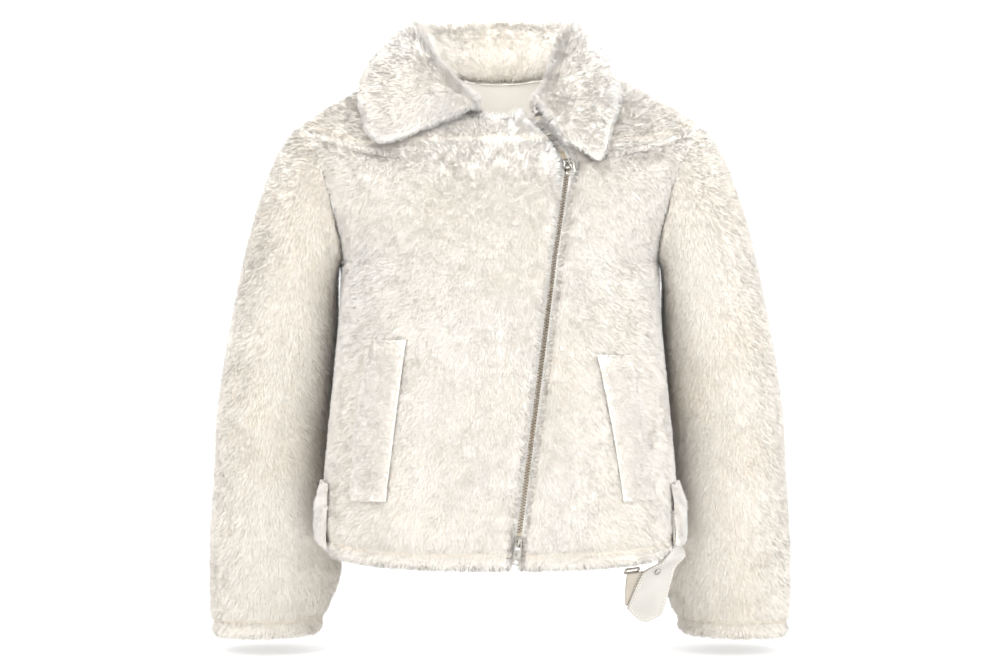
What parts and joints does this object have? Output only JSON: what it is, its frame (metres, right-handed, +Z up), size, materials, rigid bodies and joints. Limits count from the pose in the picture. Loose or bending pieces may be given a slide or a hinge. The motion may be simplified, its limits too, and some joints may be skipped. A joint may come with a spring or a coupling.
{
  "type": "faux fur coat",
  "caption": "Cropped plush coat with a wide fur collar, slanted two-way zip, slanted pocket welts and a side strap, filled out as worn and open at neck, hem and cuffs.",
  "frame": {"origin": "in the middle of the garment between the two shoulders, on the plane of the shoulder seams, 28 mm below the neck ends of the seams, where the wearer's shoulders hold it up", "axes": "+Z up, +Y towards the wearer's back, so the front faces -Y, +X towards the wearer's left"},
  "size_m": [0.689, 0.292, 0.7327],
  "materials": {
    "fur": "short dense plush pile",
    "fur_trim": "short dense plush pile",
    "lining": "matte woven",
    "strap": "matte suede",
    "steel": "polished",
    "tape": "matte woven"
  },
  "bodies": {
    "coat": {"front_right": "fur", "front_left": "fur", "back": "fur", "back_lining": "lining", "sleeve_right": "fur", "sleeve_left": "fur", "collar": "fur", "welt_right": "fur_trim", "welt_left": "fur_trim", "side_loop_right": "fur_trim", "side_loop_left": "fur_trim", "side_strap": "strap", "strap_tab": "strap", "strap_buckle": "steel", "strap_snap": "steel", "zip_tape_right": "tape", "zip_tape_left": "tape", "zip_chain": "steel", "top_slider": "steel", "bottom_slider": "steel"},
    "top_pull": {"top_pull": "steel"},
    "bottom_pull": {"bottom_pull": "steel"}
  },
  "joints": [
    {"name": "top_pull_hinge", "type": "hinge", "parent": "coat", "child": "top_pull", "pos_m": [0.0758, -0.10052, -0.09041], "axis": [-0.9689, -0.2248, -0.1037], "range_deg": [0, 150]},
    {"name": "bottom_pull_hinge", "type": "hinge", "parent": "coat", "child": "bottom_pull", "pos_m": [0.02035, -0.141, -0.50694], "axis": [-0.9901, -0.0535, 0.1297], "range_deg": [0, 150]}
  ]
}
